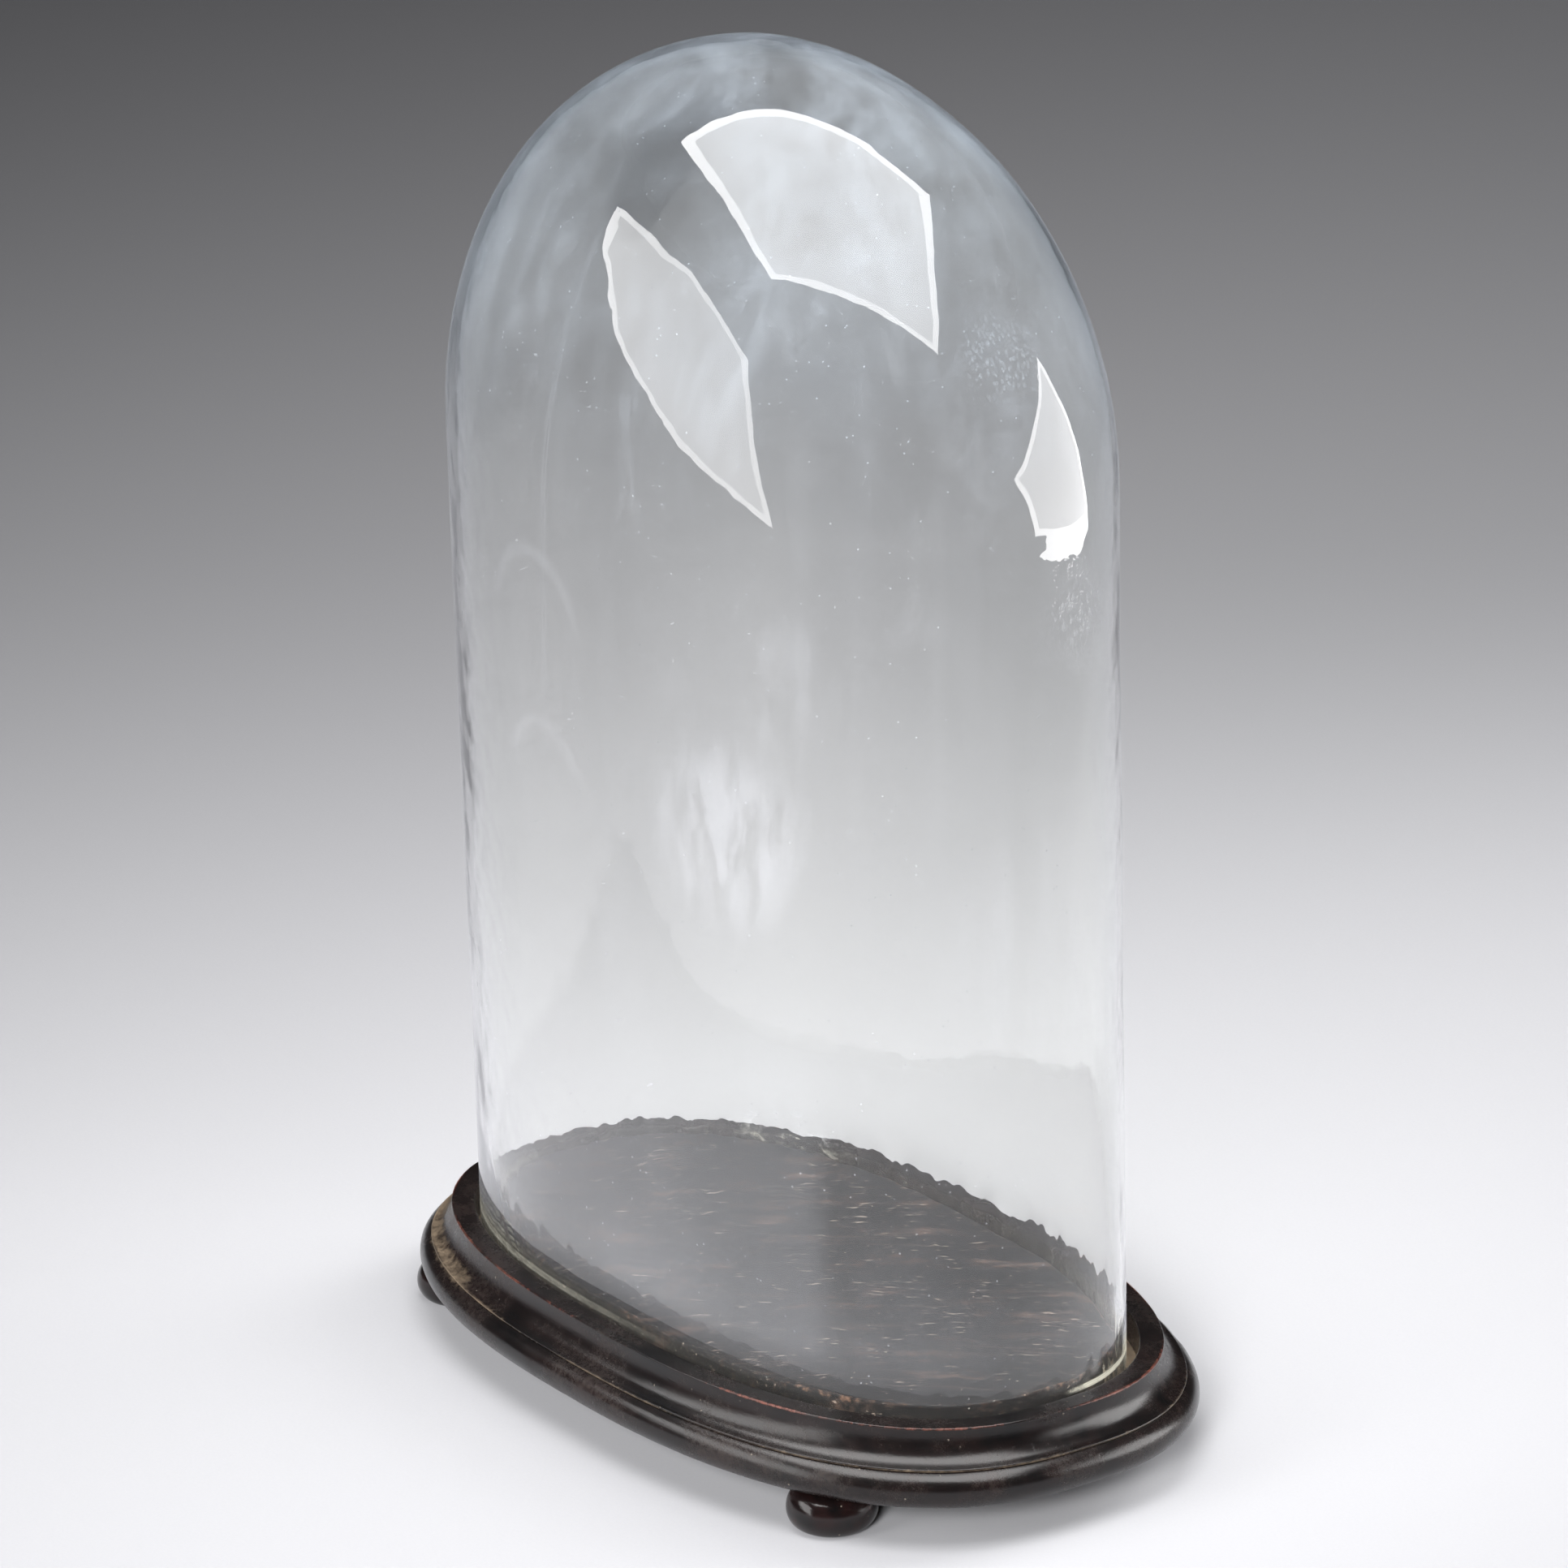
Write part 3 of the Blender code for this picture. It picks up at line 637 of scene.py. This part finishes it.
def sweep(section, count, base_z, weather):
    """Carries a section of (offset, z, wear, dust) round the oval.

    weather(x, y, offset, z, wear, dust) gives how far a point moves outwards and up, its wear and its dust.
    """
    vertices, wear, dust = [], [], []
    for i in range(count):
        angle = 2 * math.pi * i / count
        for offset, z, worn, dusty in section:
            x, y = plan_point(offset, angle)
            outward, lift, worn, dusty = weather(x, y, offset, z, worn, dusty)
            x, y = plan_point(offset + outward, angle)
            vertices.append((x, y, base_z + z + lift))
            wear.append(worn)
            dust.append(dusty)
    return vertices, wear, dust


def ring_section():
    """The moulding's (offset, z, wear, dust): groove wall, flat top, arris, cove and lip."""
    height = RIM_TOP - RING_BOTTOM
    inner_round, arris_round, fillet, steps = 0.0006, 0.0005, 0.0003, 22
    points = [(-RIM_WIDTH, 0.0, 0.0, 0.3), (-RIM_WIDTH, height * 0.5, 0.0, 0.3)]
    points.append((-RIM_WIDTH, height - 0.0008, 0.1, 0.2))
    corner = arc((inner_round - RIM_WIDTH, height - inner_round), (inner_round, inner_round), 180, 90, 4)
    points += [(offset, z, 0.25, 0.12) for offset, z in corner]
    points += [(-0.0055, height, 0.05, 0.1), (-0.0038, height - 0.00005, 0.0, 0.1)]
    points += [(-0.0020, height, 0.08, 0.06), (-0.0010, height, 0.35, 0.0)]
    arris = arc((-arris_round, height - arris_round), (arris_round, arris_round), 90, 0, 5)
    points += [(offset, z, 0.72, 0.0) for offset, z in arris]
    points.append((0.0, COVE_TOP + 0.0002, 0.45, 0.0))
    cove = arc((LIP - fillet, COVE_TOP), (LIP - fillet, COVE_TOP - fillet), 180, 270, steps)
    for i, (offset, z) in enumerate(cove):
        points.append((offset, z, max(0.0, 0.12 - 0.02 * i), 0.25 * (i / steps) ** 4))
    points += [(LIP - 0.0001, 0.0002, 0.2, 0.25), (LIP, 0.0, 0.15, 0.45), (LIP, -0.0004, 0.0, 0.60)]
    points += [(LIP - 0.0002, -0.0006, 0.0, 0.60), (LIP - 0.002, -0.0002, 0.0, 0.5)]
    return points


def make_ring(material):
    def weather(x, y, offset, z, worn, dusty):
        at_arris = abs(offset) < 0.0012 and z > COVE_TOP
        nick = max(0.0, rough(x, y, 0.0, 55.0, 3.1) - 0.25) * 0.0007 * at_arris
        wave = 0.00012 * rough(x, y, z, 18.0, 1.7) + 0.00005 * rough(x, y, z, 90.0, 5.2)
        worn += 0.30 * rough(x, y, 0.0, 30.0, 8.0) * (worn > 0.3)
        dusty += 0.60 * left_end(x) * clamp((offset / LIP - 0.12) / 0.35) * (z < COVE_TOP)
        dusty += 0.35 * rough(x, y, 0.0, 40.0, 6.8) * (z < 0.0003)
        return wave - nick * 0.5, -nick + wave * 0.5 * (z > 0.001), worn, dusty

    section, count = ring_section(), 640
    vertices, wear, dust = sweep(section, count, RING_BOTTOM, weather)
    faces = strip_faces(count, len(section), closed=True)
    mesh = outward_mesh("ring", vertices, faces, {"wear": wear, "dust": dust})
    add_piece("rim_moulding_worn", mesh, material, "base", "rim_moulding")


def foot_middle(name):
    low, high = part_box(f"bun_foot_{name}")
    return (low[0] + high[0]) / 2, (low[1] + high[1]) / 2


def board_holes():
    """(x, y, radius at the underside, radius above) of every screw hole in the base board."""
    places = [plan_point(RING_SCREWS, math.radians(a)) for a in (10, 75, 105, 170, 190, 255, 285, 350)]
    places += [(x, y) for x in (0.085, -0.085) for y in (-0.032, 0.032)]
    holes = [(x, y, HEAD_RADIUS, SCREW_RADIUS) for x, y in places]
    return holes + [(*foot_middle(name), SCREW_RADIUS, SCREW_RADIUS) for name in FEET]


def board_section():
    """The board's (offset, z, wear, dust): the groove's floor, the bullnose and the underside's edge."""
    top = BOARD_TOP - BOARD_BOTTOM
    half, radius, steps = top / 2, 0.0063, 26
    points = [(BOARD_INNER, top, 0.0, 0.3), (-0.0166, top, 0.0, 0.7), (-0.0120, top, 0.0, 0.65)]
    points += [(-0.0078, top, 0.0, 0.7), (0.0, top, 0.0, 0.2), (OVERHANG - radius, top, 0.0, 0.5)]
    bullnose = arc((OVERHANG - radius, half), (radius, half), 90, -90, steps)[1:]
    for i, (offset, z) in enumerate(bullnose):
        worn = 0.22 * math.exp(-((i - steps / 2) / 5.0) ** 2)
        points.append((offset, z, worn, max(0.0, 0.40 - 0.09 * i)))
    points.append((-0.004, 0.0, 0.0, 0.0))
    return points


def board_weather(x, y, offset, z, worn, dusty):
    outside = offset > 0.004
    from_top = z - (BOARD_TOP - BOARD_BOTTOM)
    dent = max(0.0, rough(x, y, z, 42.0, 9.4) - 0.42) * 0.0010 * outside
    wave = 0.00014 * rough(x, y, z, 14.0, 4.4) * outside
    worn += 0.25 * rough(x, y, z, 26.0, 2.0) * (worn > 0.05)
    settled = 0.45 * left_end(x) + 0.15 * rough(x, y, 0.0, 20.0, 6.0)
    dusty += settled * clamp(from_top / 0.003 + 1.0) * outside
    dusty += 0.2 * clamp((x - 0.09) / 0.03) * (offset < -0.007)
    return wave - dent, 0.0, worn, dusty


def add_hole(edit, x, y, low_radius, high_radius):
    """A hole's wall. Gives its rings of points, from the underside up."""
    sides = 24
    rings = []
    levels = ((low_radius, BOARD_BOTTOM), (high_radius, BOARD_BOTTOM + HEAD_DEPTH), (high_radius, BOARD_TOP))
    angles = [2 * math.pi * k / sides for k in range(sides)]
    for r, z in levels:
        rings.append([edit.verts.new((x + r * math.cos(a), y + r * math.sin(a), z)) for a in angles])
    for lower, upper in zip(rings, rings[1:]):
        for k in range(sides):
            after = (k + 1) % sides
            edit.faces.new((lower[k], lower[after], upper[after], upper[k]))
    return rings


def loop_edges(edit, loop):
    return [edit.edges.get((corner, loop[(k + 1) % len(loop)])) for k, corner in enumerate(loop)]


def make_board(material):
    """The base board. Its middle, above and below, is filled in round the screw holes."""
    section, count = board_section(), 640
    size = len(section)
    vertices, wear, dust = sweep(section, count, BOARD_BOTTOM, board_weather)
    edit = bmesh.new()
    wear_layer, dust_layer = (edit.verts.layers.float.new(key) for key in ("wear", "dust"))
    corners = []
    for place, worn, dusty in zip(vertices, wear, dust):
        corner = edit.verts.new(place)
        corner[wear_layer], corner[dust_layer] = worn, dusty
        corners.append(corner)
    for face in strip_faces(count, size):
        edit.faces.new([corners[index] for index in face])
    low, high = loop_edges(edit, corners[size - 1::size]), loop_edges(edit, corners[::size])
    for x, y, low_radius, high_radius in board_holes():
        rings = add_hole(edit, x, y, low_radius, high_radius)
        low += loop_edges(edit, rings[0])
        if (x / (HALF_LENGTH + BOARD_INNER)) ** 2 + (y / (HALF_WIDTH + BOARD_INNER)) ** 2 < 1.0:
            high += loop_edges(edit, rings[-1])
    for edges in (low, high):
        bmesh.ops.triangle_fill(edit, edges=edges, use_beauty=True, use_dissolve=False)
    bmesh.ops.recalc_face_normals(edit, faces=edit.faces)
    mesh = bpy.data.meshes.new("board")
    edit.to_mesh(mesh)
    edit.free()
    add_piece("base_board_worn", mesh, material, "base", "base_board")


def make_platform(material):
    edge = -RIM_WIDTH - GROOVE_WIDTH
    height = PLATFORM_TOP - RING_BOTTOM
    corner = 0.0008
    section = [(edge - 0.012, height, 0.0, 0.0), (edge - 0.004, height, 0.0, 0.05)]
    section.append((edge - 0.0012, height, 0.12, 0.1))
    rounded = arc((edge - corner, height - corner), (corner, corner), 90, 0, 5)
    section += [(offset, z, 0.5, 0.12) for offset, z in rounded]
    section += [(edge, height * 0.5, 0.0, 0.4), (edge, 0.0, 0.0, 0.6), (edge - 0.01, 0.0, 0.0, 0.0)]

    def weather(x, y, offset, z, worn, dusty):
        at_edge = worn > 0.1
        nick = max(0.0, rough(x, y, 0.0, 70.0, 7.7) - 0.2) * 0.0010 * at_edge
        return -nick, -nick * 0.6, worn + 0.3 * rough(x, y, 0.0, 35.0, 1.1) * at_edge, dusty

    count, size = 512, len(section)
    vertices, wear, dust = sweep(section, count, RING_BOTTOM, weather)
    faces = strip_faces(count, size)
    faces += [tuple(i * size + row for i in range(count)) for row in (0, size - 1)]
    mesh = outward_mesh("platform", vertices, faces, {"wear": wear, "dust": dust})
    add_piece("display_platform_worn", mesh, material, "base", "display_platform")


def foot_section(top, middle):
    """(radius, z, wear): top, shoulder, waist, bun, and a counterbore and hole for the screw."""
    points = [(0.0021, top, 0.0), (0.0080, top, 0.0), (0.0094, top - 0.0002, 0.1)]
    shoulder = arc((0.0098, middle), (0.0048, top - middle - 0.0006), 84, 0, 14)
    points += [(r, z, 0.15) for r, z in shoulder]
    bun = arc((0.0090, middle), (0.0056, middle), 0, -90, 12)[1:]
    points += [(r, z, 0.2) for r, z in bun]
    points += [(0.0052, 0.0, 0.5), (0.0044, 0.0003, 0.4), (0.0044, 0.0049, 0.0)]
    return points + [(0.0038, 0.0051, 0.0), (0.0021, 0.0068, 0.0)]


def make_foot(name, material, seed):
    """A turned bun with a screw hole up its middle, a little uneven from hand finishing."""
    x0, y0 = foot_middle(name)
    middle, sides = 0.0066, 72
    section = foot_section(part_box(f"bun_foot_{name}")[1][2], middle)
    vertices, wear, dust = [], [], []
    for i in range(sides):
        angle = 2 * math.pi * i / sides
        x, y = math.cos(angle), math.sin(angle)
        for r, z, worn in section:
            r += 0.00012 * rough(x, y, z * 60, 1.5, seed) * (r > 0.007)
            rubbed = max(0.0, rough(x, y, z * 90, 1.3, seed + 4.0)) * (r > 0.009)
            vertices.append((x0 + r * x, y0 + r * y, z))
            wear.append(worn + 0.9 * rubbed)
            dust.append(0.12 if z > middle else 0.0)
    faces = strip_faces(sides, len(section), closed=True)
    mesh = outward_mesh(f"foot_{name}", vertices, faces, {"wear": wear, "dust": dust})
    add_piece(f"bun_foot_{name}_worn", mesh, material, "base", f"bun_foot_{name}")


def glass_rows():
    """(half-length, half-width, exponent, height) from the bottom edge to just below the top."""
    rows = []
    foot_rows, foot_step, longest_step, growth, crown_rows = 22, 0.0009, 0.0085, 1.25, 44
    heights = [GLASS_BOTTOM + foot_step * k for k in range(foot_rows)]
    while heights[-1] < SHOULDER - 0.012:
        heights.append(heights[-1] + min(longest_step, (heights[-1] - heights[-2]) * growth))
    for z in heights:
        rise = (z - GLASS_BOTTOM) / (SHOULDER - GLASS_BOTTOM)
        eased = rise * (1.3 - 0.3 * rise)
        oval = [low + (high - low) * eased for low, high in zip(GLASS_FOOT_OVAL, GLASS_SHOULDER_OVAL)]
        rows.append((*oval, z))
    half_length, half_width, exponent = GLASS_SHOULDER_OVAL
    for step in range(crown_rows):
        angle = math.radians(90 * step / crown_rows)
        z = SHOULDER + (GLASS_TOP - SHOULDER) * math.sin(angle)
        rows.append((half_length * math.cos(angle), half_width * math.cos(angle), exponent, z))
    return rows


def fading(height, reach, power):
    """1 at the bottom edge, fading out at this reach above it."""
    return math.exp(-((height / reach) ** power))


def glass_wall(x, y, z):
    """The wall's thickness: thinner on the crown, thicker and rippled near the bottom edge."""
    height = z - GLASS_BOTTOM
    front = clamp(0.25 - y / 0.05)
    back = clamp(0.5 + 0.6 * y / 0.07 + 0.2 * max(0.0, -x / 0.14))
    wall = 0.0026 - 0.00064 * x / 0.14 - 0.0004 * y / 0.08 - 0.0005 * clamp((z - SHOULDER) / 0.05)
    wall += 0.00010 * rough(x, y, z, 24.0, 9.1)
    wall += 0.0015 * front * fading(height, 0.026, 2)
    back_ripple = 0.0010 * rough(x, y, z * 0.4, 120.0, 7.3) + 0.00030 * rough(x, y, z * 0.5, 300.0, 3.3)
    front_ripple = 0.00006 * rough(x, y, z, 170.0, 1.3) + 0.00003 * rough(x, y, z, 420.0, 6.3)
    wall += back * fading(height, 0.021, 4) * back_ripple + front * fading(height, 0.030, 6) * front_ripple
    return max(LEAST_WALL, wall)


def glass_skins(rows, count):
    """The points of the outer and the inner skin, row by row."""
    grid = []
    for *oval, z in rows:
        grid.append([Vector((*oval_point(*oval, 2 * math.pi * i / count), z)) for i in range(count)])
    grid.append([Vector((0.0, 0.0, GLASS_TOP))] * count)
    outer, inner = [], []
    for r in range(len(rows)):
        below, row, above = grid[max(r - 1, 0)], grid[r], grid[r + 1]
        for i, point in enumerate(row):
            x, y, z = point
            height = z - GLASS_BOTTOM
            normal = (row[(i + 1) % count] - row[i - 1]).cross(above[i] - below[i]).normalized()
            wobble = 0.00045 * rough(x, y, z, 11.0, 2.2) + 0.00016 * rough(x, y, z, 32.0, 6.6) - 0.0002
            wobble *= clamp((GLASS_TOP - z) / 0.02)
            wobble += 0.00006 * fading(height, 0.004, 2) * rough(x, y, z * 0.5, 150.0, 4.1)
            chip = max(0.0, rough(x, y, 0.0, 60.0, 5.5) + 0.15) * 0.0016 * fading(height, 0.0012, 1)
            face = point + normal * wobble + Vector((0.0, GLASS_SHIFT, chip))
            outer.append(face)
            inner.append(face - normal * glass_wall(x, y, z))
    return outer, inner


def bridge(lower, upper, count):
    """The faces between two closed loops of points, given each loop's first point."""
    steps = [(i, (i + 1) % count) for i in range(count)]
    return [(lower + i, lower + j, upper + j, upper + i) for i, j in steps]


def make_glass(material):
    """A blown shell: two skins with their own ripples, an uneven wall, and a rough, rounded bottom edge."""
    rows, count, lip_steps = glass_rows(), 900, 5
    outer, inner = glass_skins(rows, count)
    shift, last = len(outer), len(outer) - count
    faces = []
    for lower in range(0, last, count):
        faces += bridge(lower, lower + count, count)
    for lower in range(shift, shift + last, count):
        faces += [face[::-1] for face in bridge(lower, lower + count, count)]
    vertices = outer + inner
    top = len(vertices)
    vertices += [Vector((0.0, GLASS_SHIFT, GLASS_TOP - depth)) for depth in (0.0002, 0.0023)]
    for i in range(count):
        j = (i + 1) % count
        faces.append((last + i, last + j, top))
        faces.append((shift + last + j, shift + last + i, top + 1))
    lip_loops = [0]
    for k in range(1, lip_steps):
        angle = math.pi * k / lip_steps
        lip_loops.append(len(vertices))
        for out, inn in zip(outer[:count], inner[:count]):
            middle, half = (out + inn) / 2, (out - inn) / 2
            drop = min(half.length * 0.6 * math.sin(angle), middle.z - GLASS_BOTTOM)
            vertices.append(middle + half * math.cos(angle) - Vector((0.0, 0.0, drop)))
    lip_loops.append(shift)
    for lower, upper in zip(lip_loops, lip_loops[1:]):
        faces += bridge(lower, upper, count)
    mesh = outward_mesh("glass", vertices, faces, {})
    add_piece("glass_dome_blown", mesh, material, "dome", "glass_dome", 80)


def main():
    add_camera()
    add_lights()
    add_world()
    add_floor()
    ebonised = ebonised_wood("ebonised_wood_worn")
    make_ring(ebonised)
    make_board(ebonised)
    make_platform(platform_wood())
    foot_material = ebonised_wood("foot_wood_worn", 0.18, 0.8)
    for index, name in enumerate(FEET):
        make_foot(name, foot_material, 1.0 + 2.7 * index)
    make_glass(old_glass())
    steel = screw_steel()
    for obj in bpy.data.objects:
        if obj.type == "MESH" and "_screw_" in obj.name:
            for slot in obj.material_slots:
                slot.material = steel


main()
